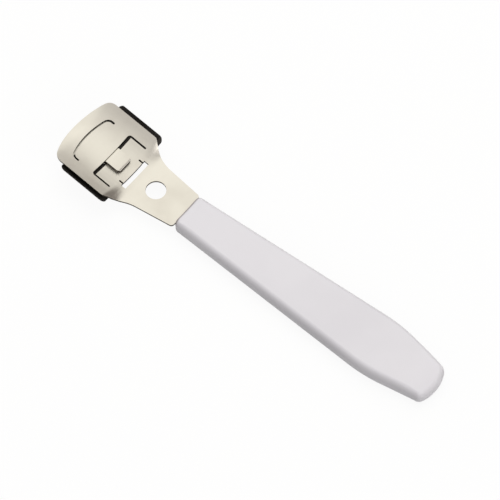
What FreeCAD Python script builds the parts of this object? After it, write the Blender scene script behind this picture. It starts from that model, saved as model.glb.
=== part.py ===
"""Callus shaver: a plastic handle, a stamped steel head, a curved two-edged blade and its sole plate.

Frame: millimetres, +X from the head to the tail of the handle, +Y to the right, +Z up.
The origin lies under the middle of the tool, on the plane that the handle's flat underside rests on.
The head is a shallow trough that opens upwards and rises towards its front edge.
"""
import FreeCAD, Part
import math
import os

import Sketcher
from FreeCAD import Placement, Rotation, Vector

SIZES = {
    # handle
    "handle_height": 7.6,
    "handle_front_width": 13.8,
    "handle_belly_width": 21.5,
    "handle_belly_reach": 84.4,
    "handle_turn_radius": 58.0,
    "handle_taper_angle": 10.1,
    "handle_tail_run": 22.6,
    "handle_tail_corner": 2.4,
    "handle_tail_radius": 15.0,
    "handle_fall_run": 11.0,
    "handle_fall_radius": 32.0,
    "handle_top_fillet": 1.4,
    "handle_foot_fillet": 2.0,
    "handle_mouth_chamfer": 0.5,
    # stamped head sheet
    "sheet_gauge": 0.8,
    "neck_level": 3.9,
    "neck_length": 23.2,
    "head_length": 27.5,
    "head_width": 29.4,
    "head_tilt": 11.0,
    "trough_radius": 34.0,
    "front_edge_radius": 25.0,
    "front_corner_radius": 4.2,
    "lip_curl_run": 4.4,
    "lip_curl_radius": 10.0,
    "shoulder_radius": 2.0,
    "shoulder_setback": 2.9,
    "flare_radius": 17.5,
    "flare_angle": 44.0,
    "neck_taper_angle": 7.0,
    "neck_corner_radius": 1.3,
    "bend_run": 0.5,
    "bend_foot": 3.4,
    "tang_width": 9.8,
    "tang_depth": 45.0,
    "hang_hole_diameter": 7.3,
    "hang_hole_reach": 9.6,
    "relief_slot_length": 12.6,
    "relief_slot_width": 1.9,
    "relief_slot_offset": 0.1,
    "relief_notch_length": 1.7,
    "relief_notch_width": 0.6,
    "relief_notch_inset": 1.0,
    # openings in the trough
    "lip_depth": 5.5,
    "slit_width": 0.7,
    "slit_half_span": 9.9,
    "slit_corner_radius": 2.6,
    "slit_return": 4.6,
    "bridge_length": 11.3,
    "window_half_span": 10.1,
    "window_leg_width": 0.65,
    "window_gap": 1.3,
    "window_leg_length": 7.6,
    "window_corner_radius": 1.2,
    # blade
    "blade_length": 34.2,
    "blade_gauge": 0.4,
    "blade_bevel": 1.4,
    "blade_edge_land": 0.04,
    "blade_corner_radius": 1.6,
    "blade_setback": 2.0,
    "blade_rear_setback": 1.0,
    "blade_slot_width": 3.2,
    "blade_slot_corner_radius": 0.6,
    # sole plate with its hook
    "sole_gauge": 0.6,
    "sole_side_margin": 0.9,
    "sole_front_margin": 2.8,
    "sole_rear_setback": 1.1,
    "sole_throat_width": 4.4,
    "sole_throat_setback": 0.6,
    "sole_throat_inset": 1.5,
    "sole_throat_corner": 1.4,
    "sole_front_radius": 28.0,
    "hook_width": 6.8,
    "hook_length": 7.0,
    "hook_rise": 1.5,
    "hook_bend_radius": 0.9,
    "hook_corner_radius": 1.6,
    # clearances
    "stack_clearance": 0.05,
    "tang_clearance": 0.05,
    "hook_side_clearance": 0.3,
    "hook_seat_clearance": 0.05,
}

NODES = ("handle", "head_frame", "blade", "sole_plate")

doc = FreeCAD.newDocument("callus_shaver")


def fill_sheet():
    """The driving dimensions, one per row, each with its alias."""
    sheet = doc.addObject("Spreadsheet::Sheet", "sizes")
    for row, (alias, value) in enumerate(SIZES.items(), start=1):
        sheet.set(f"A{row}", alias)
        sheet.set(f"B{row}", str(value))
        sheet.setAlias(f"B{row}", alias)
    doc.recompute()
    return sheet


sizes = fill_sheet()


def size(alias):
    """A driving dimension, read back from the sheet."""
    return float(sizes.get(alias))


def bind(thing, prop, expression):
    """Tie one property to the sheet; a bare alias in the expression gets the sheet's name."""
    thing.setExpression(prop, expression)


HANDLE_LENGTH = size("handle_belly_reach") + size("handle_tail_run")
HALF = (size("head_length") + size("neck_length") + HANDLE_LENGTH) / 2
GAUGE = size("sheet_gauge")
TRIM = 2 * GAUGE
NECK_TOP = size("neck_level") + GAUGE
HANDLE_FRONT = HALF - HANDLE_LENGTH
HEAD_ROOT = size("head_length") - HALF
TILT = math.radians(size("head_tilt"))
TROUGH = size("trough_radius")
HEAD_HALF = size("head_width") / 2
SLOPE = Rotation(Vector(0, 1, 0), size("head_tilt"))
HEAD_SEAT = Placement(Vector(HEAD_ROOT, 0, NECK_TOP), SLOPE)
HEAD_SIDE = HEAD_SEAT.multiply(Placement(Vector(), Rotation(Vector(1, 0, 0), 90)))
ACROSS = Rotation(Vector(0, 1, 0), Vector(0, 0, 1), Vector(1, 0, 0), "ZXY")
REACH = size("head_width")
BEND_STATIONS = (0.0, 0.25, 0.5, 0.75, 1.0)


class Outline:
    """A closed sketch walked from point to point with lines and arcs."""

    def __init__(self, sketch, x, y):
        self.sketch = sketch
        self.start = self.here = Vector(x, y, 0)
        self.ends = []
        self.bound = []

    def line(self, x, y):
        """A straight edge to the point."""
        there = Vector(x, y, 0)
        index = self.sketch.addGeometry(Part.LineSegment(self.here, there), False)
        self.ends.append((index, 1, 2))
        self.here = there
        return self

    def arc(self, x, y, radius, left, alias=None):
        """The short arc to the point, turning left or right, its radius tied to the alias."""
        there = Vector(x, y, 0)
        chord = there - self.here
        side = Vector(-chord.y, chord.x, 0).normalize() * (1 if left else -1)
        middle = (self.here + there) * 0.5
        centre = middle + side * math.sqrt(max(radius ** 2 - (chord.Length / 2) ** 2, 0.0))
        first, last = (self.here, there) if left else (there, self.here)
        angles = [math.atan2(p.y - centre.y, p.x - centre.x) for p in (first, last)]
        circle = Part.Circle(centre, Vector(0, 0, 1), radius)
        index = self.sketch.addGeometry(Part.ArcOfCircle(circle, angles[0], angles[1]), False)
        self.ends.append((index, 1, 2) if left else (index, 2, 1))
        if alias:
            self.bound.append((index, radius, alias))
        self.here = there
        return self

    def close(self):
        """Join the ends in a ring and tie the named radii to the sheet."""
        if (self.here - self.start).Length > 1e-6:
            self.line(self.start.x, self.start.y)
        for (index, _, tail), (after, head, _) in zip(self.ends, self.ends[1:] + self.ends[:1]):
            self.sketch.addConstraint(Sketcher.Constraint("Coincident", index, tail, after, head))
        for index, radius, alias in self.bound:
            held = self.sketch.addConstraint(Sketcher.Constraint("Radius", index, radius))
            bind(self.sketch, f"Constraints[{held}]", f"sizes.{alias}")
        return self.sketch


def loose_sketch(name, placement):
    """A sketch outside any body, on the plane of its placement."""
    sketch = doc.addObject("Sketcher::SketchObject", name)
    sketch.Placement = placement
    return sketch


def body_sketch(body, name, role):
    """A sketch on one of the body's own origin planes."""
    sketch = body.newObject("Sketcher::SketchObject", name)
    plane = next(f for f in body.Origin.OriginFeatures if f.Role == role)
    sketch.AttachmentSupport = [(plane, "")]
    sketch.MapMode = "FlatFace"
    return sketch


def extrude(name, sketch, length, reverse=0.0):
    """A straight extrusion along the sketch's normal."""
    solid = doc.addObject("Part::Extrusion", name)
    solid.Base = sketch
    solid.DirMode = "Normal"
    solid.Solid = True
    solid.LengthFwd = length
    solid.LengthRev = reverse
    return solid


def combine(kind, name, shapes):
    """A fuse or common of several shapes."""
    result = doc.addObject(kind, name)
    result.Shapes = shapes
    return result


def cut(name, base, tool):
    """One shape less another."""
    result = doc.addObject("Part::Cut", name)
    result.Base = base
    result.Tool = tool
    return result


def edges_where(feature, test):
    """The names of the edges of a feature whose box passes the test."""
    return [f"Edge{i}" for i, edge in enumerate(feature.Shape.Edges, 1) if test(edge.BoundBox)]


def soften(body, kind, name, base, edges, prop, alias):
    """A fillet or chamfer in a body, its radius or width tied to the sheet."""
    softened = body.newObject(kind, name)
    softened.Base = (base, edges)
    bind(softened, prop, f"sizes.{alias}")
    doc.recompute()
    return softened


def handle_plan(body):
    """The handle seen from above: two straight sides, a soft turn at the belly, a taper and a round tail."""
    front, tail = HANDLE_FRONT, HALF
    nose = size("handle_front_width") / 2
    peak = Vector(front + size("handle_belly_reach"), size("handle_belly_width") / 2, 0)
    side = (peak - Vector(front, nose, 0)).normalize()
    taper = math.radians(size("handle_taper_angle"))
    along, out = Vector(math.cos(taper), -math.sin(taper), 0), Vector(math.sin(taper), math.cos(taper), 0)
    cutback = size("handle_turn_radius") * math.tan(side.getAngle(along) / 2)
    side_end = peak - side * cutback
    taper_start = peak + along * cutback

    corner, bulge = size("handle_tail_corner"), size("handle_tail_radius")
    hub = Vector(tail - bulge, 0, 0)
    offset = taper_start - out * corner - hub
    lead = -offset.dot(along)
    run = lead + math.sqrt(lead ** 2 - offset.dot(offset) + (bulge - corner) ** 2)
    taper_end = taper_start + along * run
    pivot = taper_end - out * corner
    bulge_start = hub + (pivot - hub) * (bulge / (bulge - corner))

    plan = Outline(body_sketch(body, "handle_plan", "XY_Plane"), front, -nose)
    plan.line(side_end.x, -side_end.y)
    plan.arc(taper_start.x, -taper_start.y, size("handle_turn_radius"), True, "handle_turn_radius")
    plan.line(taper_end.x, -taper_end.y)
    plan.arc(bulge_start.x, -bulge_start.y, corner, True, "handle_tail_corner")
    plan.arc(bulge_start.x, bulge_start.y, bulge, True, "handle_tail_radius")
    plan.arc(taper_end.x, taper_end.y, corner, True, "handle_tail_corner")
    plan.line(taper_start.x, taper_start.y)
    plan.arc(side_end.x, side_end.y, size("handle_turn_radius"), True, "handle_turn_radius")
    plan.line(front, nose)
    return plan.close()


def tail_fall(body):
    """The round line, seen from the side, along which the top falls away to the tail."""
    height, radius = size("handle_height"), size("handle_fall_radius")
    start, stop = HALF - size("handle_fall_run"), HALF + TRIM
    low = height - radius + math.sqrt(radius ** 2 - (stop - start) ** 2)
    fall = Outline(body_sketch(body, "handle_fall", "XZ_Plane"), start, height)
    fall.arc(stop, low, radius, False, "handle_fall_radius")
    return fall.line(stop, height + TRIM).line(start, height + TRIM).close()


def tang_slot_outline(body):
    """The slot's cross section at the handle's front end."""
    gap = size("tang_clearance")
    half = size("tang_width") / 2 + gap
    low, high = size("neck_level") - gap, NECK_TOP + gap
    slot = Outline(body_sketch(body, "tang_slot_outline", "YZ_Plane"), -half, low)
    sketch = slot.line(half, low).line(half, high).line(-half, high).close()
    sketch.AttachmentOffset = Placement(Vector(0, 0, HANDLE_FRONT), Rotation())
    return sketch


def make_handle():
    """The moulded handle: widest towards its tail, soft rims, a bevelled mouth and a slot for the tang."""
    body = doc.addObject("PartDesign::Body", "handle")
    block = body.newObject("PartDesign::Pad", "handle_block")
    block.Profile = handle_plan(body)
    block.Length = size("handle_height")
    bind(block, "Length", "sizes.handle_height")
    doc.recompute()
    crown = body.newObject("PartDesign::Pocket", "handle_crown")
    crown.Profile = tail_fall(body)
    crown.Type = "ThroughAll"
    crown.Midplane = True
    doc.recompute()
    if crown.Shape.Volume >= block.Shape.Volume:
        raise RuntimeError("the fall towards the tail removed nothing")

    def runs_back(box):
        return box.XMax > HANDLE_FRONT + TRIM and box.XLength > GAUGE / 2

    middle = size("handle_height") / 2
    top = edges_where(crown, lambda box: box.ZMin > middle and runs_back(box))
    rim = soften(body, "PartDesign::Fillet", "handle_rim", crown, top, "Radius", "handle_top_fillet")
    low = edges_where(rim, lambda box: box.ZMax < GAUGE and runs_back(box))
    foot = soften(body, "PartDesign::Fillet", "handle_foot", rim, low, "Radius", "handle_foot_fillet")
    face = edges_where(foot, lambda box: box.XMax < HANDLE_FRONT + size("tang_clearance"))
    mouth = soften(body, "PartDesign::Chamfer", "handle_mouth", foot, face, "Size", "handle_mouth_chamfer")

    pocket = body.newObject("PartDesign::Pocket", "tang_slot")
    pocket.Profile = tang_slot_outline(body)
    pocket.Type = "Length"
    pocket.Reversed = True
    bind(pocket, "Length", "sizes.tang_depth + sizes.tang_clearance")
    doc.recompute()
    if pocket.Shape.Volume >= mouth.Shape.Volume:
        raise RuntimeError("the tang slot removed nothing")
    return body


def rounded_front(front, side, arc, corner):
    """Where a front edge of one radius meets its corners, and where the corners meet the sides."""
    lean = math.asin((side - corner) / (arc - corner))
    hub = front + arc
    return hub - arc * math.cos(lean), arc * math.sin(lean), hub - (arc - corner) * math.cos(lean)


def frame_outline():
    """The stamped sheet's outline seen from above, from the front edge to the tang's end."""
    front, side = -HALF, HEAD_HALF
    arc = size("front_edge_radius")
    corner = size("front_corner_radius")
    tip_x, tip_y, side_x = rounded_front(front, side, arc, corner)

    flare, taper = math.radians(size("flare_angle")), math.radians(size("neck_taper_angle"))
    shoulder, sweep = size("shoulder_radius"), size("flare_radius")
    back_x = HEAD_ROOT - size("shoulder_setback")
    low_x = back_x + shoulder * math.sin(flare)
    low_y = side - shoulder * (1 - math.cos(flare))
    waist_x = low_x + sweep * (math.sin(flare) - math.sin(taper))
    waist_y = low_y - sweep * (math.cos(taper) - math.cos(flare))
    round_off = size("neck_corner_radius")
    end_x = HANDLE_FRONT - size("stack_clearance")
    edge_x = end_x - round_off
    edge_y = waist_y - (edge_x - waist_x) * math.tan(taper)
    tang = size("tang_width") / 2
    tang_x = HANDLE_FRONT + size("tang_depth")

    line = Outline(loose_sketch("frame_outline", Placement()), front, 0)
    line.arc(tip_x, -tip_y, arc, True, "front_edge_radius")
    line.arc(side_x, -side, corner, True, "front_corner_radius")
    line.line(back_x, -side)
    line.arc(low_x, -low_y, shoulder, True, "shoulder_radius")
    line.arc(waist_x, -waist_y, sweep, False, "flare_radius")
    line.line(edge_x, -edge_y).arc(end_x, round_off - edge_y, round_off, True)
    line.line(end_x, -tang).line(tang_x, -tang).line(tang_x, tang).line(end_x, tang)
    line.line(end_x, edge_y - round_off).arc(edge_x, edge_y, round_off, True)
    line.line(waist_x, waist_y)
    line.arc(low_x, low_y, sweep, False, "flare_radius")
    line.arc(back_x, side, shoulder, True, "shoulder_radius")
    line.line(side_x, side)
    line.arc(tip_x, tip_y, corner, True, "front_corner_radius")
    line.arc(front, 0, arc, True, "front_edge_radius")
    return line.close()


def trough_section(name, place, radius, half, gauge):
    """One closed section across the trough: a curved strip whose upper side passes the origin."""
    spread = math.asin(half / radius)
    under = radius + gauge
    section = Outline(loose_sketch(name, place), -half, radius - radius * math.cos(spread))
    section.arc(half, radius - radius * math.cos(spread), radius, True)
    section.line(under * math.sin(spread), radius - under * math.cos(spread))
    section.arc(-under * math.sin(spread), radius - under * math.cos(spread), under, False)
    return section.close()


def side_outline(name, x, y):
    """An outline in the head's length plane, measured along the slope and up from it."""
    return Outline(loose_sketch(name, HEAD_SIDE), x, y)


def revolved(name, profile, angle):
    """A profile in the head's length plane, turned about the trough's axis both ways."""
    turned = doc.addObject("Part::Revolution", name)
    turned.Source = profile
    turned.Solid = True
    turned.Axis = SLOPE.multVec(Vector(1, 0, 0))
    turned.Base = HEAD_SEAT.multVec(Vector(0, 0, TROUGH))
    turned.Angle = angle
    turned.Symmetric = True
    return turned


def head_span():
    """The trough's angle, a little wider than the head, in degrees."""
    return 2 * math.degrees(math.asin((HEAD_HALF + TRIM) / TROUGH))


def head_prism(name, outline):
    """A prism, both ways, on a sketch that lies in the head's own sloping plane."""
    return extrude(name, outline, REACH / 2, REACH / 2)


def head_sketch(name):
    """A sketch in the sloping plane that touches the trough's lowest line."""
    return loose_sketch(name, HEAD_SEAT)


FRONT_L = -size("head_length") / math.cos(TILT)
SLIT_X = FRONT_L + size("lip_depth")
BRIDGE_END = SLIT_X + size("bridge_length")
TONGUE_START = BRIDGE_END + size("window_gap")
HOOK_X = TONGUE_START - size("window_gap") / 2


def throat_slit():
    """The curved slit behind the lip, whose two ends turn back."""
    wide, span = size("slit_width"), size("slit_half_span")
    corner, arc = size("slit_corner_radius"), size("front_edge_radius")
    back = SLIT_X + size("slit_return")
    tip_x, tip_y, side_x = rounded_front(SLIT_X, span, arc, corner)
    inner_x, inner_y, _ = rounded_front(SLIT_X + wide, span - wide, arc - wide, corner - wide)
    slit = Outline(head_sketch("slit_outline"), SLIT_X, 0)
    slit.arc(tip_x, -tip_y, arc, True).arc(side_x, -span, corner, True, "slit_corner_radius")
    slit.line(back, -span).arc(back, wide - span, wide / 2, True).line(side_x, wide - span)
    slit.arc(inner_x, -inner_y, corner - wide, False).arc(inner_x, inner_y, arc - wide, False)
    slit.arc(side_x, span - wide, corner - wide, False).line(back, span - wide)
    slit.arc(back, span, wide / 2, True).line(side_x, span)
    slit.arc(tip_x, tip_y, corner, True, "slit_corner_radius").arc(SLIT_X, 0, arc, True)
    return head_prism("throat_slit", slit.close())


def tongue_window():
    """The U-shaped slot that frees the tongue: a front gap with a leg down each side."""
    span, leg = size("window_half_span"), size("window_leg_width")
    back = BRIDGE_END + size("window_leg_length")
    corner = size("window_corner_radius")
    inner = span - leg
    slot = Outline(head_sketch("window_outline"), BRIDGE_END, span - corner)
    slot.line(BRIDGE_END, corner - span)
    slot.arc(BRIDGE_END + corner, -span, corner, True, "window_corner_radius")
    slot.line(back, -span).arc(back, -inner, leg / 2, True).line(TONGUE_START, -inner)
    slot.line(TONGUE_START, inner).line(back, inner).arc(back, span, leg / 2, True)
    slot.line(BRIDGE_END + corner, span)
    slot.arc(BRIDGE_END, span - corner, corner, True, "window_corner_radius")
    return head_prism("tongue_window", slot.close())


def relief_slot():
    """The straight slot on the bend, with a short notch towards the head near each of its ends."""
    half, wide = size("relief_slot_length") / 2, size("relief_slot_width")
    front = HEAD_ROOT + size("relief_slot_offset") - wide / 2
    ahead, nick = front - size("relief_notch_length"), size("relief_notch_width") / 2
    middle = half - size("relief_notch_inset")
    slot = Outline(loose_sketch("relief_outline", Placement()), front, half)
    for centre in (middle, -middle):
        slot.line(front, centre + nick).line(ahead + nick, centre + nick)
        slot.arc(ahead + nick, centre - nick, nick, True).line(front, centre - nick)
    slot.line(front, -half).line(front + wide, -half).line(front + wide, half)
    return extrude("relief_slot", slot.close(), REACH)


def trough_band(reach):
    """The trough from the bend to past the front edge, where the lip curls softly down."""
    curl, start = size("lip_curl_radius"), FRONT_L + size("lip_curl_run")
    fall = math.asin((size("lip_curl_run") + TRIM) / curl)
    inner = curl - GAUGE
    side = side_outline("trough_band_profile", -reach, 0).line(start, 0)
    side.arc(start - curl * math.sin(fall), curl * math.cos(fall) - curl, curl, True)
    side.line(start - inner * math.sin(fall), inner * math.cos(fall) - curl)
    side.arc(start, -GAUGE, inner, False).line(-reach, -GAUGE)
    return revolved("trough_band", side.close(), head_span())


def make_head_frame():
    """The one stamped sheet: trough, bend, neck and tang, cut to its outline and pierced."""
    reach = size("bend_run")
    band = trough_band(reach)
    half = HEAD_HALF + TRIM
    foot_x = HEAD_ROOT + size("bend_foot")
    sections = []
    first = HEAD_SEAT.multVec(Vector(-reach, 0, 0))
    last = Vector(foot_x, 0, NECK_TOP)
    root = Vector(HEAD_ROOT, 0, NECK_TOP)
    for step, s in enumerate(BEND_STATIONS):
        point = first * (1 - s) ** 2 + root * (2 * s * (1 - s)) + last * s ** 2
        lean = size("head_tilt") * (1 - s)
        fade = 1 - s * s * (3 - 2 * s)
        place = Placement(point, Rotation(Vector(0, 1, 0), lean).multiply(ACROSS))
        if s == BEND_STATIONS[-1]:
            flat = Outline(loose_sketch(f"bend_{step}", place), -half, 0)
            flat.line(half, 0).line(half, -GAUGE).line(-half, -GAUGE)
            sections.append(flat.close())
        else:
            sections.append(trough_section(f"bend_{step}", place, TROUGH / fade, half, GAUGE))
    bend = doc.addObject("Part::Loft", "bend")
    bend.Sections = sections
    bend.Solid = True
    bend.Ruled = False
    strip = doc.addObject("Part::Box", "neck_strip")
    strip.Length = HANDLE_FRONT + size("tang_depth") - foot_x + TRIM
    strip.Width = 2 * half
    strip.Height = GAUGE
    strip.Placement.Base = Vector(foot_x, -half, size("neck_level"))
    bind(strip, "Height", "sizes.sheet_gauge")
    blank = combine("Part::MultiFuse", "blank", [band, bend, strip])
    outline = extrude("outline_prism", frame_outline(), REACH)
    stamped = combine("Part::MultiCommon", "stamped", [blank, outline])
    hole = doc.addObject("Part::Cylinder", "hang_hole")
    bind(hole, "Radius", "sizes.hang_hole_diameter / 2")
    hole.Height = REACH
    hole.Placement.Base = Vector(HEAD_ROOT + size("hang_hole_reach"), 0, 0)
    cutters = [hole, relief_slot(), throat_slit(), tongue_window()]
    piercings = combine("Part::MultiFuse", "piercings", cutters)
    frame = cut("head_frame", stamped, piercings)
    return frame


def blade_top():
    """Level of the blade's upper side below the trough's lowest line."""
    return -GAUGE - size("stack_clearance")


def make_blade():
    """The two-edged blade: a thin bevelled strip bent to the trough, with rounded corners and a slot."""
    top = blade_top()
    low = top - size("blade_gauge")
    mid = (top + low) / 2
    land = size("blade_edge_land") / 2
    bevel = size("blade_bevel")
    front, back = SLIT_X + size("blade_setback"), -size("blade_rear_setback")
    radius = TROUGH - mid
    span = math.degrees(size("blade_length") / radius)
    side = side_outline("blade_profile", front, mid + land)
    side.line(front + bevel, top).line(back - bevel, top).line(back, mid + land).line(back, mid - land)
    side.line(back - bevel, low).line(front + bevel, low).line(front, mid - land)
    strip = revolved("blade_strip", side.close(), span)
    corner = size("blade_corner_radius")
    edge = radius * math.sin(math.radians(span / 2))
    half = edge + TRIM
    plan = Outline(head_sketch("blade_plan"), front - TRIM, corner - edge)
    plan.line(front, corner - edge).arc(front + corner, -edge, corner, True, "blade_corner_radius")
    plan.line(front + corner, -half).line(back - corner, -half).line(back - corner, -edge)
    plan.arc(back, corner - edge, corner, True, "blade_corner_radius").line(back + TRIM, corner - edge)
    plan.line(back + TRIM, edge - corner).line(back, edge - corner)
    plan.arc(back - corner, edge, corner, True, "blade_corner_radius")
    plan.line(back - corner, half).line(front + corner, half).line(front + corner, edge)
    plan.arc(front, edge - corner, corner, True, "blade_corner_radius").line(front - TRIM, edge - corner)
    rounded = combine("Part::MultiCommon", "blade_rounded", [strip, head_prism("blade_prism", plan.close())])
    reach = size("hook_width") / 2 + size("hook_side_clearance")
    wide = size("blade_slot_width") / 2
    nip = size("blade_slot_corner_radius")
    low, high = HOOK_X - wide, HOOK_X + wide
    slot = Outline(head_sketch("blade_slot_plan"), low, reach - nip)
    slot.line(low, nip - reach).arc(low + nip, -reach, nip, True).line(high - nip, -reach)
    slot.arc(high, nip - reach, nip, True).line(high, reach - nip)
    slot.arc(high - nip, reach, nip, True).line(low + nip, reach).arc(low, reach - nip, nip, True)
    return cut("blade", rounded, head_prism("blade_slot", slot.close()))


def sole_top():
    """Level of the sole plate's upper side below the trough's lowest line."""
    return blade_top() - size("blade_gauge") - size("stack_clearance")


def make_sole_plate():
    """The curved plate on the skin side, with its throat window and a hook over the tongue."""
    top, gauge = sole_top(), size("sole_gauge")
    front, rear = FRONT_L + size("sole_front_margin"), -size("sole_rear_setback")
    low = top - gauge
    section = side_outline("sole_profile", FRONT_L, top).line(rear, top).line(rear, low).line(FRONT_L, low)
    shell = revolved("sole_shell", section.close(), head_span())
    side = HEAD_HALF - size("sole_side_margin")
    arc = size("sole_front_radius")
    corner = size("front_corner_radius")
    tip_x, tip_y, side_x = rounded_front(front, side, arc, corner)
    nip = corner / 2
    plan = Outline(head_sketch("sole_plan"), front, 0)
    plan.arc(tip_x, -tip_y, arc, True, "sole_front_radius")
    plan.arc(side_x, -side, corner, True, "front_corner_radius")
    plan.line(rear - nip, -side).arc(rear, nip - side, nip, True).line(rear, side - nip)
    plan.arc(rear - nip, side, nip, True).line(side_x, side)
    plan.arc(tip_x, tip_y, corner, True, "front_corner_radius").arc(front, 0, arc, True, "sole_front_radius")
    plate = combine("Part::MultiCommon", "sole_trimmed", [shell, head_prism("sole_prism", plan.close())])

    start = SLIT_X + size("sole_throat_setback")
    stop = start + size("sole_throat_width")
    span = size("slit_half_span") - size("sole_throat_inset")
    turn, sweep = size("sole_throat_corner"), size("front_edge_radius")
    tip_x, tip_y, side_x = rounded_front(start, span, sweep, turn)
    throat = Outline(head_sketch("sole_throat_plan"), start, 0)
    throat.arc(tip_x, -tip_y, sweep, True).arc(side_x, -span, turn, True).line(stop - turn, -span)
    throat.arc(stop, turn - span, turn, True).line(stop, span - turn)
    throat.arc(stop - turn, span, turn, True).line(side_x, span)
    throat.arc(tip_x, tip_y, turn, True).arc(start, 0, sweep, True)
    opened = cut("sole_opened", plate, head_prism("sole_throat", throat.close()))

    leg = HOOK_X - gauge / 2
    rise, bend = size("hook_rise"), size("hook_bend_radius")
    tip = TONGUE_START + size("hook_length") - size("window_gap")
    half = size("hook_width") / 2
    seat = TROUGH - math.sqrt(TROUGH ** 2 - half ** 2) + size("hook_seat_clearance")
    inner = bend - gauge
    hook = side_outline("hook_profile", leg, top - gauge / 2)
    hook.line(leg + gauge, top - gauge / 2).line(leg + gauge, rise - bend)
    hook.arc(leg + bend, rise - gauge, inner, False).line(tip - bend, rise - gauge)
    hook.arc(tip - gauge, rise - bend, inner, False).line(tip - gauge, seat).line(tip, seat)
    hook.line(tip, rise - bend).arc(tip - bend, rise, bend, True, "hook_bend_radius")
    hook.line(leg + bend, rise).arc(leg, rise - bend, bend, True, "hook_bend_radius")
    strap = extrude("hook", hook.close(), half, half)
    turn = size("hook_corner_radius")
    rounded = Outline(head_sketch("hook_plan"), leg - gauge, -half).line(tip - turn, -half)
    rounded.arc(tip, turn - half, turn, True).line(tip, half - turn)
    rounded.arc(tip - turn, half, turn, True).line(leg - gauge, half)
    tab = combine("Part::MultiCommon", "hook_rounded", [strap, head_prism("hook_prism", rounded.close())])
    return combine("Part::MultiFuse", "sole_plate", [opened, tab])


def write_parts(parts):
    """Check every object and each finished shape, then write one file per node."""
    doc.recompute()
    bad = [o.Name for o in doc.Objects if {"Invalid", "Error"} & set(o.State)]
    if bad:
        raise RuntimeError(f"failed objects: {bad}")
    for node, part in zip(NODES, parts):
        part.Label = node
        if part.Shape.isNull() or not part.Shape.isValid():
            raise RuntimeError(f"{node} has no valid shape")
        if len(part.Shape.Solids) != 1:
            raise RuntimeError(f"{node} is {len(part.Shape.Solids)} solids")
    os.makedirs("parts", exist_ok=True)
    for node, part in zip(NODES, parts):
        part.Shape.exportStep(f"parts/{node}.step")
        box = part.Shape.BoundBox
        print(f"{node}: {part.Shape.Volume:.1f} mm3, x {box.XMin:.2f}..{box.XMax:.2f}, "
              f"y {box.YMin:.2f}..{box.YMax:.2f}, z {box.ZMin:.2f}..{box.ZMax:.2f}")


write_parts([make_handle(), make_head_frame(), make_blade(), make_sole_plate()])
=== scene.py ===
"""Looks of the callus shaver: a white handle, a satin steel head and a blued steel blade.

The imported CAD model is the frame. Lengths are in metres, +X from the head to the handle's tail,
+Z up. The sizes of the head and of the handle's plan repeat those of the part's source.
"""
from __future__ import annotations

import logging
import math
from dataclasses import dataclass
from enum import Enum
from typing import Any

import bmesh
import bpy
import numpy as np
from mathutils import Matrix, Vector

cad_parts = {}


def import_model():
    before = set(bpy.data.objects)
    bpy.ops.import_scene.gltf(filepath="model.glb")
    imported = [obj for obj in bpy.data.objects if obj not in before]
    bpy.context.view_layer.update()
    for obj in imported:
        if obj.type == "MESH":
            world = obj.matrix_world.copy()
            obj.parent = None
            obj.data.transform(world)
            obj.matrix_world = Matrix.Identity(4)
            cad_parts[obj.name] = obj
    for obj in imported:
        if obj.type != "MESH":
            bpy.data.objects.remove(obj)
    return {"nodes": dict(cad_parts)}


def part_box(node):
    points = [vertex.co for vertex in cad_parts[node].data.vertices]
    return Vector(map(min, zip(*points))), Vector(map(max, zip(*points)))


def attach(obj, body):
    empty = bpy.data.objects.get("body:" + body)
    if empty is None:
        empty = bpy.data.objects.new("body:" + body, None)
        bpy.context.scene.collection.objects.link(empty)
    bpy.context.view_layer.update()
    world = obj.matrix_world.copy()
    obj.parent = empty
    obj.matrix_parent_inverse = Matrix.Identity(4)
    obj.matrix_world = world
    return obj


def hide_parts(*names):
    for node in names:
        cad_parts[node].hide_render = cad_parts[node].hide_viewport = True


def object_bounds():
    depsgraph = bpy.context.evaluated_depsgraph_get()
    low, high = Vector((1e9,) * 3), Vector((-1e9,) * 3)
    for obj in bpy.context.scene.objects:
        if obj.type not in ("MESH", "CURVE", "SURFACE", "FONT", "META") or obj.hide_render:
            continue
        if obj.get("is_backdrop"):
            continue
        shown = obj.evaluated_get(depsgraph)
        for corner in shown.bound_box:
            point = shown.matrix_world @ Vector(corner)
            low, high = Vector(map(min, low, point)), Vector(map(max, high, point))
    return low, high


MM = 0.001
PHOTO_PIXELS = 500
HEAD_LENGTH = 27.5 * MM
LOG = logging.getLogger("callus_shaver")

Colour = tuple[float, float, float]
Span = tuple[float, float]
WHITE: Colour = (1.0, 1.0, 1.0)


class Grain(Enum):
    """Direction in which a pattern runs, as factors on the three axes."""

    EVEN = (1.0, 1.0, 1.0)
    ALONG = (1.0, 14.0, 14.0)
    ACROSS = (14.0, 1.0, 14.0)


@dataclass(frozen=True)
class Noise:
    """A noise in the object's own space: its waves per metre, its octaves and its grain."""

    scale: float
    octaves: float
    grain: Grain = Grain.EVEN


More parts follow.
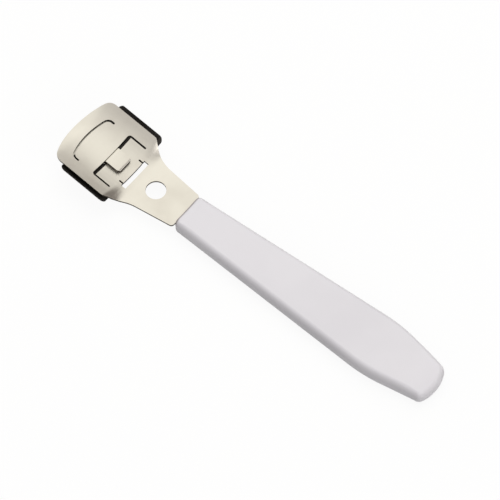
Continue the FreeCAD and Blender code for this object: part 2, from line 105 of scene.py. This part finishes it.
class Value:
    """A number socket of a node tree; sums, differences and products of it add Math nodes."""

    def __init__(self, tree: NodeSheet, socket: bpy.types.NodeSocket) -> None:
        """Keep the tree and the output socket."""
        self.tree = tree
        self.socket = socket

    def _math(self, operation: str, first: Any, second: Any = None) -> Value:
        """Add one Math node.

        Args:
            operation: the node's operation, such as ADD.
            first: a Value, a socket or a number for the first input.
            second: a Value, a socket or a number for the second input, or None.

        Returns:
            The node's result.
        """
        inputs = {0: first} if second is None else {0: first, 1: second}
        node = self.tree.add("ShaderNodeMath", {"operation": operation}, inputs)
        return Value(self.tree, node.outputs[0])

    def __add__(self, other: Any) -> Value:
        """Sum with a number, a socket or a Value."""
        return self._math("ADD", self, other)

    __radd__ = __add__

    def __mul__(self, other: Any) -> Value:
        """Product with a number, a socket or a Value."""
        return self._math("MULTIPLY", self, other)

    __rmul__ = __mul__

    def __rsub__(self, other: Any) -> Value:
        """A number less this value."""
        return self._math("SUBTRACT", other, self)

    def size(self) -> Value:
        """This value without its sign."""
        return self._math("ABSOLUTE", self)

    def at_most(self, limit: float) -> Value:
        """This value, or the limit where that is less."""
        return self._math("MINIMUM", self, limit)

    def between(self, low: float, high: float) -> Value:
        """A smooth step from 0 at low to 1 at high.

        Args:
            low: where the step starts.
            high: where the step ends.

        Returns:
            The stepped value.
        """
        node = self.tree.add("ShaderNodeMapRange", {"interpolation_type": "SMOOTHSTEP"},
                             {"Value": self, "From Min": low, "From Max": high})
        return Value(self.tree, node.outputs["Result"])


class NodeSheet:
    """The node tree of one material or world."""

    def __init__(self, owner: Any) -> None:
        """Clear the owner's node tree.

        Args:
            owner: a material or a world.
        """
        owner.use_nodes = True
        self.nodes = owner.node_tree.nodes
        self.links = owner.node_tree.links
        self.nodes.clear()

    def add(self, kind: str, settings: dict[str, Any] | None = None,
            inputs: dict[Any, Any] | None = None) -> bpy.types.Node:
        """Add one node.

        Args:
            kind: the node's type name.
            settings: its properties, which are set first.
            inputs: numbers, colours, sockets or Values for its sockets, by name or index.

        Returns:
            The new node.
        """
        node = self.nodes.new(kind)
        for name, value in (settings or {}).items():
            setattr(node, name, value)
        for name, value in (inputs or {}).items():
            self._feed(node.inputs[name], value)
        return node

    def _feed(self, socket: bpy.types.NodeSocket, value: Any) -> None:
        """Link or set one input.

        Args:
            socket: the input.
            value: a Value, an output socket, a number or a tuple.
        """
        if isinstance(value, Value):
            self.links.new(value.socket, socket)
        elif isinstance(value, bpy.types.NodeSocket):
            self.links.new(value, socket)
        elif isinstance(value, tuple) and socket.type == "RGBA":
            socket.default_value = (*value, 1.0)
        else:
            socket.default_value = value

    def noise(self, kind: Noise) -> Value:
        """A noise of the kind, about 0 to 1, on the object's own coordinates.

        Args:
            kind: the noise's scale, octaves and grain.

        Returns:
            The noise.
        """
        place = self.add("ShaderNodeTexCoord").outputs["Object"]
        mapped = self.add("ShaderNodeMapping", inputs={"Vector": place, "Scale": kind.grain.value})
        node = self.add("ShaderNodeTexNoise", {"noise_dimensions": "3D"},
                        {"Vector": mapped.outputs[0], "Scale": kind.scale, "Detail": kind.octaves})
        return Value(self, node.outputs[0])

    def part(self, vector: bpy.types.NodeSocket, axis: str) -> Value:
        """One part of a vector, X, Y or Z."""
        return Value(self, self.add("ShaderNodeSeparateXYZ", inputs={0: vector}).outputs[axis])

    def along(self) -> Value:
        """The place along the tool, in the object's own space."""
        return self.part(self.add("ShaderNodeTexCoord").outputs["Object"], "X")

    def facing_up(self) -> Value:
        """How nearly the surface lies flat: 1 on a level face, up or down, 0 on an upright one."""
        return self.part(self.add("ShaderNodeNewGeometry").outputs["True Normal"], "Z").size()

    def shows_backdrop(self) -> Value:
        """1 for a ray that shows the backdrop: to the camera, off a gloss or through glass.

        Returns:
            The share, 0 or 1.
        """
        rays = self.add("ShaderNodeLightPath").outputs
        shown = Value(self, rays["Is Camera Ray"]) + rays["Is Glossy Ray"]
        return (shown + rays["Is Transmission Ray"]).at_most(1.0)

    def colour_mix(self, factor: Value, first: Any, second: Any) -> bpy.types.NodeSocket:
        """Lay one colour over another.

        Args:
            factor: share of the second colour.
            first: a colour or a socket.
            second: a colour or a socket.

        Returns:
            The mixed colour's socket.
        """
        node = self.add("ShaderNodeMix", {"data_type": "RGBA"}, {0: factor, 6: first, 7: second})
        return node.outputs[2]

    def bump(self, height: Value, distance: float, strength: float) -> bpy.types.NodeSocket:
        """A bump from a height.

        Args:
            height: the height, 0 to 1.
            distance: metres that a height of 1 stands for.
            strength: share of the effect.

        Returns:
            The bent normal's socket.
        """
        inputs = {"Height": height, "Distance": distance, "Strength": strength}
        return self.add("ShaderNodeBump", inputs=inputs).outputs[0]


@dataclass(frozen=True)
class Finish:
    """The finish of a surface, made as one procedural material."""

    name: str

    def surface(self, sheet: NodeSheet) -> dict[str, Any]:
        """What feeds the surface's shader; each finish gives its own."""
        raise NotImplementedError

    def make(self) -> bpy.types.Material:
        """Build the material.

        Returns:
            The material.
        """
        material = bpy.data.materials.new(self.name)
        sheet = NodeSheet(material)
        shader = sheet.add("ShaderNodeBsdfPrincipled", inputs=self.surface(sheet))
        sheet.add("ShaderNodeOutputMaterial", inputs={"Surface": shader.outputs[0]})
        return material


@dataclass(frozen=True)
class MouldedPlastic(Finish):
    """White gloss plastic with a moulding's faint orange skin, and a darker line painted at its
    mouth as shade.
    """

    name: str = "handle_white_plastic"
    colour: Colour = (0.757, 0.743, 0.781)
    shade: Colour = (0.724, 0.709, 0.748)
    # Painted shade: a darker colour over the handle's first millimetre, where the neck goes in.
    mouth: Colour = (0.33, 0.29, 0.30)
    mouth_shade_span: Span = (-27.4 * MM, -26.6 * MM)
    clouds: Noise = Noise(38.0, 2.0)
    cloud_span: Span = (0.35, 0.75)
    roughness: float = 0.32
    cloud_roughness: float = 0.08
    refraction: float = 1.42
    skin: Noise = Noise(900.0, 1.0)
    skin_depth: float = 0.012 * MM
    skin_share: float = 0.5

    def surface(self, sheet: NodeSheet) -> dict[str, Any]:
        """Clouds shift the colour and the gloss, and a painted shade line at the mouth lies over
        them.

        Args:
            sheet: the material's node tree.

        Returns:
            The shader's inputs by name.
        """
        clouds = sheet.noise(self.clouds)
        tint = sheet.colour_mix(clouds.between(*self.cloud_span), self.colour, self.shade)
        # Painted shade: the handle's front takes the darker mouth colour, and the plastic's own
        # tint lies behind it.
        beyond_mouth_shade = sheet.along().between(*self.mouth_shade_span)
        return {
            "Base Color": sheet.colour_mix(beyond_mouth_shade, self.mouth, tint),
            "Roughness": self.roughness + clouds * self.cloud_roughness,
            "IOR": self.refraction,
            "Normal": sheet.bump(sheet.noise(self.skin), self.skin_depth, self.skin_share),
        }


@dataclass(frozen=True)
class SatinSteel(Finish):
    """Stamped sheet steel, satin plated, with fine grain, soft wear, and rough cut edges painted
    near black as shade.
    """

    colour: Colour = (0.80, 0.765, 0.69)
    worn: Colour = (0.72, 0.68, 0.61)
    clouds: Noise = Noise(70.0, 3.0)
    cloud_span: Span = (0.4, 0.8)
    roughness: float = 0.30
    cloud_roughness: float = 0.08
    grain_roughness: float = 0.06
    grain: Noise = Noise(260.0, 4.0, Grain.ACROSS)
    grain_depth: float = 0.004 * MM
    grain_share: float = 0.4
    # Upright faces: the cut edges' own duller tone, darkened to near black as painted shade of
    # slots, walls and gaps.
    sheared_and_shade: Colour = (0.10, 0.088, 0.075)
    sheared_roughness: float = 0.55
    face_span: Span = (0.45, 0.62)

    def surface(self, sheet: NodeSheet) -> dict[str, Any]:
        """The rolled faces are bright and grained; the upright cut edges are rough, and their
        near-black colour is painted shade.

        Args:
            sheet: the material's node tree.

        Returns:
            The shader's inputs by name.
        """
        grain = sheet.noise(self.grain)
        clouds = sheet.noise(self.clouds)
        face = sheet.facing_up().between(*self.face_span)
        tint = sheet.colour_mix(clouds.between(*self.cloud_span), self.colour, self.worn)
        rolled = self.roughness + clouds * self.cloud_roughness + grain * self.grain_roughness
        return {
            # Upright faces take the near-black painted shade colour.
            "Base Color": sheet.colour_mix(face, self.sheared_and_shade, tint),
            "Metallic": 1.0,
            "Roughness": rolled * face + self.sheared_roughness * (1 - face),
            "Normal": sheet.bump(grain, self.grain_depth, self.grain_share),
        }


@dataclass(frozen=True)
class BluedSteel(Finish):
    """The blade's dark hardened steel."""

    name: str = "blade_blued_steel"
    colour: Colour = (0.020, 0.018, 0.016)
    sheen: Colour = (0.045, 0.042, 0.040)
    clouds: Noise = Noise(120.0, 4.0)
    cloud_span: Span = (0.35, 0.8)
    roughness: float = 0.36
    grain_roughness: float = 0.1
    grain: Noise = Noise(420.0, 3.0, Grain.ALONG)
    grain_depth: float = 0.003 * MM
    grain_share: float = 0.4

    def surface(self, sheet: NodeSheet) -> dict[str, Any]:
        """Clouds of a paler sheen on dark steel, with its grain in the gloss and the bump.

        Args:
            sheet: the material's node tree.

        Returns:
            The shader's inputs by name.
        """
        clouds = sheet.noise(self.clouds).between(*self.cloud_span)
        grain = sheet.noise(self.grain)
        return {
            "Base Color": sheet.colour_mix(clouds, self.colour, self.sheen),
            "Metallic": 1.0,
            "Roughness": self.roughness + grain * self.grain_roughness,
            "Normal": sheet.bump(grain, self.grain_depth, self.grain_share),
        }


def smooth_step(t: np.ndarray) -> np.ndarray:
    """A soft step from 0 to 1: the square of t times 3 less 2 t."""
    return t * t * (3.0 - 2.0 * t)


def arc_rise(y: np.ndarray, radius: np.ndarray | float) -> np.ndarray:
    """Height of an arc of the radius over its lowest point, at y to the side."""
    return radius - np.sqrt(radius ** 2 - y ** 2)


@dataclass(frozen=True)
class HeadPress:
    """The form of the head: a tilted trough that opens out softly and lies flat at the neck.

    The CAD sheet keeps its full curve up to a short bend. The real one was drawn in one stroke,
    so its sides sink over a longer run. Both heights are worked out here, and their difference
    moves the pieces of the head. Places along the tool are measured from the head's root.
    """

    root: float
    level: float = 4.7 * MM
    tilt: float = math.radians(11.0)
    radius: float = 34.0 * MM
    bend_start: float = 0.5 * MM
    bend_end: float = 3.4 * MM
    fade_start: float = -2.4 * MM
    fade_end: float = 3.3 * MM
    crease: float = 2.75 * MM
    half_span: float = 17.0 * MM
    cut_pitch: float = 0.5 * MM
    cut_reach: float = 0.002 * MM
    merge_reach: float = 0.001 * MM
    least_curve: float = 1e-4
    lean_rounds: int = 8

    def cad_height(self, x: np.ndarray, y: np.ndarray) -> np.ndarray:
        """The top of the CAD sheet over the floor.

        A section stands upright on a line that follows the slope and then a parabola through the
        corner at the root. Its lean falls evenly along the parabola, and its curvature fades by a
        smooth step. A point's place on the line is found by stepping back from x by how far the
        leaning section carries it.

        Args:
            x: places along the tool.
            y: places across it.

        Returns:
            The heights.
        """
        start = -self.bend_start * math.cos(self.tilt)
        lift = self.bend_start * math.sin(self.tilt)
        turn = self.bend_end + start
        foot = x
        for _ in range(self.lean_rounds):
            span = np.clip(foot - start, 0.0, self.bend_end - start)
            s = (start + np.sqrt(start ** 2 + turn * span)) / turn
            lean = self.tilt * (1.0 - s)
            curve = np.maximum(1.0 - smooth_step(s), self.least_curve)
            rise = arc_rise(y, self.radius / curve)
            foot = x - rise * np.sin(lean)
        slope = (start - np.minimum(foot, start)) * math.tan(self.tilt)
        return self.level + slope + lift * (1.0 - s) ** 2 + rise * np.cos(lean)

    def drawn_height(self, x: np.ndarray, y: np.ndarray) -> np.ndarray:
        """The top of the real sheet over the floor.

        The middle line is the slope, a parabola over the crease, and the level neck. The sides
        rise by the trough's arc times a smooth step down, which runs from the start to the end of
        the fade.

        Args:
            x: places along the tool.
            y: places across it.

        Returns:
            The heights.
        """
        bent = np.clip(self.crease - x, 0.0, 2.0 * self.crease)
        beyond = np.maximum(-self.crease - x, 0.0)
        middle = self.level + math.tan(self.tilt) * (bent ** 2 / (4.0 * self.crease) + beyond)
        t = np.clip((x - self.fade_start) / (self.fade_end - self.fade_start), 0.0, 1.0)
        return middle + arc_rise(y, self.radius) * (1.0 - smooth_step(t)) / math.cos(self.tilt)

    def cut_fine(self, mesh: bpy.types.Mesh) -> None:
        """Merge the mesh and cut it by a grid of upright planes where it bends.

        Args:
            mesh: a mesh in the tool's own place.
        """
        sheet = bmesh.new()
        sheet.from_mesh(mesh)
        bmesh.ops.remove_doubles(sheet, verts=sheet.verts, dist=self.merge_reach)
        low, high = self.root + self.fade_start, self.root + self.fade_end
        for normal, start, stop in ((Vector((1.0, 0.0, 0.0)), low, high),
                                    (Vector((0.0, 1.0, 0.0)), -self.half_span, self.half_span)):
            near = [face for face in sheet.faces
                    if max(vert.co.x for vert in face.verts) > low
                    and min(vert.co.x for vert in face.verts) < high]
            geometry = [*near, *{edge for face in near for edge in face.edges},
                        *{vert for face in near for vert in face.verts}]
            for place in np.arange(start, stop, self.cut_pitch):
                geometry = bmesh.ops.bisect_plane(
                    sheet, geom=geometry, dist=self.cut_reach, plane_co=normal * place,
                    plane_no=normal)["geom"]
        sheet.to_mesh(mesh)
        sheet.free()

    def press(self, mesh: bpy.types.Mesh) -> None:
        """Cut the mesh fine, and move each point near the bend by the two heights' difference.

        The normals that a CAD node brings are taken off first, as they don't fit the new form.

        Args:
            mesh: a copy of a CAD node's mesh.
        """
        mesh.attributes.remove(mesh.attributes["custom_normal"])
        self.cut_fine(mesh)
        places = np.empty(len(mesh.vertices) * 3)
        mesh.vertices.foreach_get("co", places)
        places = places.reshape(-1, 3)
        x, y = places[:, 0] - self.root, places[:, 1]
        near = (x > self.fade_start) & (x < self.fade_end)
        places[near, 2] += (self.drawn_height(x, y) - self.cad_height(x, y))[near]
        mesh.vertices.foreach_set("co", places.ravel())
        mesh.update()


@dataclass
class ToolPiece:
    """A piece of the tool that stands for one CAD node."""

    name: str
    node: str
    slot: str
    finish: Finish

    def shape(self, nodes: dict[str, bpy.types.Object]) -> bpy.types.Mesh:
        """The piece's mesh; each kind of piece gives its own."""
        raise NotImplementedError

    def build(self, nodes: dict[str, bpy.types.Object]) -> None:
        """Make and dress the piece, and let it stand for the node.

        Args:
            nodes: the frame's nodes by name.
        """
        mesh = self.shape(nodes)
        mesh.materials.clear()
        mesh.materials.append(self.finish.make())
        piece = bpy.data.objects.new(self.name, mesh)
        bpy.context.scene.collection.objects.link(piece)
        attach(piece, "root")
        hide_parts(self.node)
        LOG.info("%s made, %d faces", self.name, len(mesh.polygons))


@dataclass
class PressedPiece(ToolPiece):
    """A steel piece of the head, in the drawn form."""

    press: HeadPress
    edge_angle: float = math.radians(32.0)

    def shape(self, nodes: dict[str, bpy.types.Object]) -> bpy.types.Mesh:
        """The node's own mesh, copied and pressed, smooth but for its sharp edges.

        Args:
            nodes: the frame's nodes by name.

        Returns:
            The mesh.
        """
        mesh = nodes[self.node].data.copy()
        mesh.name = self.name
        self.press.press(mesh)
        mesh.polygons.foreach_set("material_index", np.zeros(len(mesh.polygons), dtype=np.int32))
        mesh.shade_smooth()
        mesh.set_sharp_from_angle(angle=self.edge_angle)
        return mesh


@dataclass
class RoundedHandle(ToolPiece):
    """The handle with the soft sides of the moulding: a round section carried along its plan."""

    name: str = "rounded_handle"
    node: str = "handle"
    slot: str = "handle_plastic"
    finish: Finish = MouldedPlastic()
    height: float = 7.6 * MM
    nose_half: float = 6.9 * MM
    belly_half: float = 10.75 * MM
    belly_reach: float = 84.4 * MM
    turn_radius: float = 58.0 * MM
    taper: float = math.radians(10.1)
    nose_corner: float = 1.8 * MM
    tail_corner: float = 2.4 * MM
    tail_radius: float = 15.0 * MM
    tail_share: float = 0.75
    fall_run: float = 11.0 * MM
    fall_radius: float = 32.0 * MM
    foot: Span = (2.0 * MM, 2.4 * MM)
    rim: Span = (1.8 * MM, 2.9 * MM)
    nose_core: float = 7.0 * MM
    tail_core: float = 10.0 * MM
    arc_steps: int = 15
    pitch: float = 1.4 * MM
    cap_rows: int = 6
    merge_reach: float = 0.002 * MM

    def tail_arc(self, widest: np.ndarray, tail: float) -> tuple[np.ndarray, np.ndarray]:
        """The round tail, and the corner where the tapered side meets it.

        The side runs inward from the widest place by the taper until it meets a circle about a
        point on the middle line. The arc keeps its share of the swing from the middle line to
        that corner.

        Args:
            widest: the plan's widest place.
            tail: where the tail ends.

        Returns:
            The corner, and the arc's points from the side to the middle line, one to a row.
        """
        middle = tail - self.tail_radius
        run = np.array([math.cos(self.taper), -math.sin(self.taper)])
        offset = widest - np.array([middle, 0.0])
        lean = offset @ run
        reach = -lean + math.sqrt(lean ** 2 - offset @ offset + self.tail_radius ** 2)
        corner = widest + run * reach
        swing = math.atan2(corner[1], corner[0] - middle)
        angles = swing * np.linspace(self.tail_share, 0.0, self.arc_steps)
        arc = [middle + self.tail_radius * np.cos(angles), self.tail_radius * np.sin(angles)]
        return corner, np.stack(arc, axis=1)

    def half_plan(self, front: float, tail: float) -> np.ndarray:
        """One side of the plan, from the middle of the nose to the middle of the tail.

        The corners are the nose's, the widest place's and the tail's. At each one a round of its
        own radius r takes the line's place: at turn a it is r sin(a) on and r (1 - cos(a)) inward
        from where it starts. The whole line is then divided evenly by length.

        Args:
            front: where the nose ends.
            tail: where the tail ends.

        Returns:
            Points, one to a row.
        """
        widest = np.array([front + self.belly_reach, self.belly_half])
        last, bulge = self.tail_arc(widest, tail)
        corners = np.array([[front, 0.0], [front, self.nose_half], widest, last, bulge[0]])
        radii = np.array([self.nose_corner, self.turn_radius, self.tail_corner])
        ways = np.diff(corners, axis=0)
        ways /= np.linalg.norm(ways, axis=1, keepdims=True)
        before, after = ways[:-1], ways[1:]
        turn = np.arccos(np.clip(np.sum(before * after, axis=1), -1.0, 1.0))
        inward = np.stack([before[:, 1], -before[:, 0]], axis=1)
        angle = turn[:, None] * np.linspace(0.0, 1.0, self.arc_steps)
        begin = corners[1:-1] - before * (radii * np.tan(turn / 2.0))[:, None]
        rounds = begin[:, None] + radii[:, None, None] * (
            np.sin(angle)[..., None] * before[:, None]
            + (1.0 - np.cos(angle))[..., None] * inward[:, None])
        line = np.concatenate([corners[:1], rounds.reshape(-1, 2), bulge])
        steps = np.linalg.norm(np.diff(line, axis=0), axis=1)
        length = np.concatenate([[0.0], np.cumsum(steps)])
        places = np.unique(np.concatenate([length, np.arange(0.0, length[-1], self.pitch)]))
        return np.stack([np.interp(places, length, line[:, axis]) for axis in (0, 1)], axis=1)

    def section(self, reach: np.ndarray) -> tuple[np.ndarray, np.ndarray, np.ndarray]:
        """The section at each place of the plan, from mid underside round to mid top.

        It is a quarter of an ellipse at the foot, an upright wall, and a quarter of an ellipse at
        the rim.

        Args:
            reach: distance from the plan's edge to its middle line at each place.

        Returns:
            How far inward each point lies, one row to a place; the heights of the lower points
            over the floor; and the drops of the upper points below the top.
        """
        quarter = np.linspace(0.0, math.pi / 2.0, self.arc_steps)
        deep = np.linspace(1.0, 0.0, self.cap_rows, endpoint=False) ** 2
        foot_in = self.foot[0] * (1.0 - np.sin(quarter))
        foot_up = self.foot[1] * (1.0 - np.cos(quarter))
        rim_in = self.rim[0] * (1.0 - np.cos(quarter))
        rim_down = self.rim[1] * (1.0 - np.sin(quarter))
        under = self.foot[0] + deep * (reach[:, None] - self.foot[0])
        over = self.rim[0] + deep[::-1] * (reach[:, None] - self.rim[0])
        place = np.ones_like(reach)[:, None]
        inward = np.concatenate([under, place * foot_in, place * rim_in, over], axis=1)
        flat = np.zeros(self.cap_rows)
        return inward, np.concatenate([flat, foot_up]), np.concatenate([rim_down, flat])

    def top_height(self, x: np.ndarray, tail: float) -> np.ndarray:
        """The top over the floor: level, then falling along an arc toward the tail."""
        past = np.clip(x - tail + self.fall_run, 0.0, self.fall_run)
        return self.height - self.fall_radius + np.sqrt(self.fall_radius ** 2 - past ** 2)

    def shape(self, nodes: dict[str, bpy.types.Object]) -> bpy.types.Mesh:
        """The section carried round the plan, each point inward toward the plan's core line.

        Args:
            nodes: the frame's nodes by name.

        Returns:
            The closed mesh.
        """
        low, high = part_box(self.node)
        front, tail = low[0], high[0]
        half = self.half_plan(front, tail)
        plan = np.concatenate([half, (half * [1.0, -1.0])[-2:0:-1]])
        core = np.clip(plan[:, 0], front + self.nose_core, tail - self.tail_core)
        ways = np.stack([core, np.zeros_like(core)], axis=1) - plan
        reach = np.linalg.norm(ways, axis=1)
        ways /= reach[:, None]
        inward, lower, upper = self.section(reach)
        flat = plan[:, None] + ways[:, None] * inward[..., None]
        height = self.top_height(flat[..., 0], tail)
        height[:, len(lower):] -= upper
        height[:, :len(lower)] = lower
        points = np.concatenate([flat, height[..., None]], axis=2)
        grid = np.arange(height.size).reshape(height.shape)
        beside = np.roll(grid, -1, axis=0)
        faces = np.stack([grid[:, :-1], beside[:, :-1], beside[:, 1:], grid[:, 1:]], axis=2)
        mesh = bpy.data.meshes.new(self.name)
        mesh.from_pydata(points.reshape(-1, 3), [], faces.reshape(-1, 4).tolist())
        shell = bmesh.new()
        shell.from_mesh(mesh)
        bmesh.ops.remove_doubles(shell, verts=shell.verts, dist=self.merge_reach)
        bmesh.ops.recalc_face_normals(shell, faces=shell.faces)
        shell.to_mesh(mesh)
        shell.free()
        mesh.shade_smooth()
        return mesh


@dataclass(frozen=True)
class SkyPatch:
    """A soft round patch of sky: its middle, the cosines where it starts and is full, its light."""

    axis: Colour
    edges: Span
    light: Colour


@dataclass(frozen=True)
class SoftLamp:
    """A square soft lamp: its name, its place, its side and its power in watts."""

    name: str
    place: Colour
    side: float
    power: float


@dataclass
class Studio:
    """Pale floor, soft lamp, bright soft sky and the camera of the photograph."""

    azimuth: float = math.radians(38.6)
    elevation: float = math.radians(61.2)
    distance: float = 0.720
    target: Colour = (-0.00135, 0.0017, 0.0050)
    focal_pixels: float = 2109.6
    nearest: float = 0.01
    floor_side: float = 3.0
    floor_drop: float = 0.05 * MM
    floor_colour: Colour = (0.06, 0.06, 0.06)
    floor_seen: Colour = (0.95, 0.95, 0.95)
    plain_share: float = 0.90
    backdrop_top: Span = (0.12, 0.20)
    sky_dim: Colour = (0.48, 0.465, 0.455)
    sky_patches: tuple[SkyPatch, ...] = (
        SkyPatch((-0.33, 0.53, 0.78), (0.42, 0.95), (1.14, 1.13, 1.08)),
        SkyPatch((0.10, -0.95, 0.30), (0.50, 0.92), (0.66, 0.645, 0.64)),
        SkyPatch((0.95, -0.15, 0.20), (0.74, 0.96), (2.35, 2.31, 2.28)),
        SkyPatch((-0.05, 0.98, 0.15), (0.75, 1.00), (0.60, 0.58, 0.56)),
        SkyPatch((0.52, 0.76, 0.40), (0.79, 0.92), (0.08, 0.06, 0.05)),
    )
    lamps: tuple[SoftLamp, ...] = (SoftLamp("key", (-0.15, 0.50, 1.14), 1.10, 3.85),)

    def floor(self) -> None:
        """The pale floor, which camera and reflections see nearly plain, with a faint shadow."""
        half = self.floor_side / 2
        mesh = bpy.data.meshes.new("floor")
        corners = [(-half, -half), (half, -half), (half, half), (-half, half)]
        mesh.from_pydata([(x, y, -self.floor_drop) for x, y in corners], [], [(0, 1, 2, 3)])
        floor = bpy.data.objects.new("floor", mesh)
        bpy.context.scene.collection.objects.link(floor)
        material = bpy.data.materials.new("pale_floor")
        sheet = NodeSheet(material)
        plain = sheet.add("ShaderNodeEmission", inputs={"Color": WHITE, "Strength": 1.0})
        seen = sheet.shows_backdrop()
        tone = sheet.colour_mix(seen, self.floor_colour, self.floor_seen)
        matt = sheet.add("ShaderNodeBsdfDiffuse", inputs={"Color": tone})
        mixed = sheet.add("ShaderNodeMixShader", inputs={
            0: seen * self.plain_share, 1: matt.outputs[0], 2: plain.outputs[0]})
        sheet.add("ShaderNodeOutputMaterial", inputs={"Surface": mixed.outputs[0]})
        mesh.materials.append(material)
        floor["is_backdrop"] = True

    def sky(self) -> None:
        """A soft sky with patches, over a plain white backdrop that reflections show too."""
        world = bpy.data.worlds.new("soft_sky")
        bpy.context.scene.world = world
        sheet = NodeSheet(world)
        way = sheet.add("ShaderNodeTexCoord").outputs["Generated"]
        light: Any = self.sky_dim
        for patch in self.sky_patches:
            lean = sheet.add("ShaderNodeVectorMath", {"operation": "DOT_PRODUCT"},
                             {0: way, 1: tuple(Vector(patch.axis).normalized())})
            share = Value(sheet, lean.outputs["Value"]).between(*patch.edges)
            light = sheet.colour_mix(share, light, patch.light)
        above = sheet.part(way, "Z").between(*self.backdrop_top)
        seen = sheet.shows_backdrop() * (1 - above)
        soft = sheet.add("ShaderNodeBackground", inputs={"Color": light, "Strength": 1.0})
        plain = sheet.add("ShaderNodeBackground", inputs={"Color": WHITE, "Strength": 1.0})
        mixed = sheet.add("ShaderNodeMixShader", inputs={
            0: seen, 1: soft.outputs[0], 2: plain.outputs[0]})
        sheet.add("ShaderNodeOutputWorld", inputs={"Surface": mixed.outputs[0]})

    def light(self) -> None:
        """The soft lamps, each turned to the middle of the object and left out of reflections."""
        for lamp in self.lamps:
            source = bpy.data.lights.new(lamp.name, "AREA")
            source.shape = "SQUARE"
            source.size = lamp.side
            source.energy = lamp.power
            holder = bpy.data.objects.new(lamp.name, source)
            holder.location = lamp.place
            holder.visible_glossy = False
            holder.rotation_euler = (-Vector(lamp.place)).to_track_quat("-Z", "Y").to_euler()
            bpy.context.scene.collection.objects.link(holder)

    def camera(self) -> None:
        """The camera at the photograph's angle, its focal length set by the image's pixels."""
        sine, cosine = math.sin(self.azimuth), math.cos(self.azimuth)
        level = math.cos(self.elevation)
        back = Vector((sine * level, -cosine * level, math.sin(self.elevation)))
        right = Vector((cosine, sine, 0.0))
        lens = bpy.data.cameras.new("camera")
        lens.lens = self.focal_pixels / PHOTO_PIXELS * lens.sensor_width
        lens.clip_start = self.nearest
        holder = bpy.data.objects.new("camera", lens)
        turned = Matrix((right, back.cross(right), back)).transposed().to_4x4()
        place = Vector(self.target) + back * self.distance
        holder.matrix_world = Matrix.Translation(place) @ turned
        bpy.context.scene.collection.objects.link(holder)
        bpy.context.scene.camera = holder

    def build(self) -> None:
        """Set up the whole studio."""
        bpy.context.scene.view_settings.view_transform = "Standard"
        self.floor()
        self.sky()
        self.light()
        self.camera()
        LOG.info("studio ready")


def main() -> None:
    """Load the frame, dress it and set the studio."""
    logging.basicConfig(level=logging.INFO)
    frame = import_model()
    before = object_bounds()
    press = HeadPress(root=before[0][0] + HEAD_LENGTH)
    for piece in (
        RoundedHandle(),
        PressedPiece("drawn_head", "head_frame", "head_steel",
                     SatinSteel("head_satin_steel"), press),
        PressedPiece("curved_blade", "blade", "blade_steel", BluedSteel(), press),
        # The sole's cut edges are painted darker still, as shade.
        PressedPiece("curved_sole", "sole_plate", "sole_steel",
                     SatinSteel("sole_satin_steel", sheared_and_shade=(0.075, 0.065, 0.055)), press),
    ):
        piece.build(frame["nodes"])
    Studio().build()


if __name__ == "__main__":
    main()
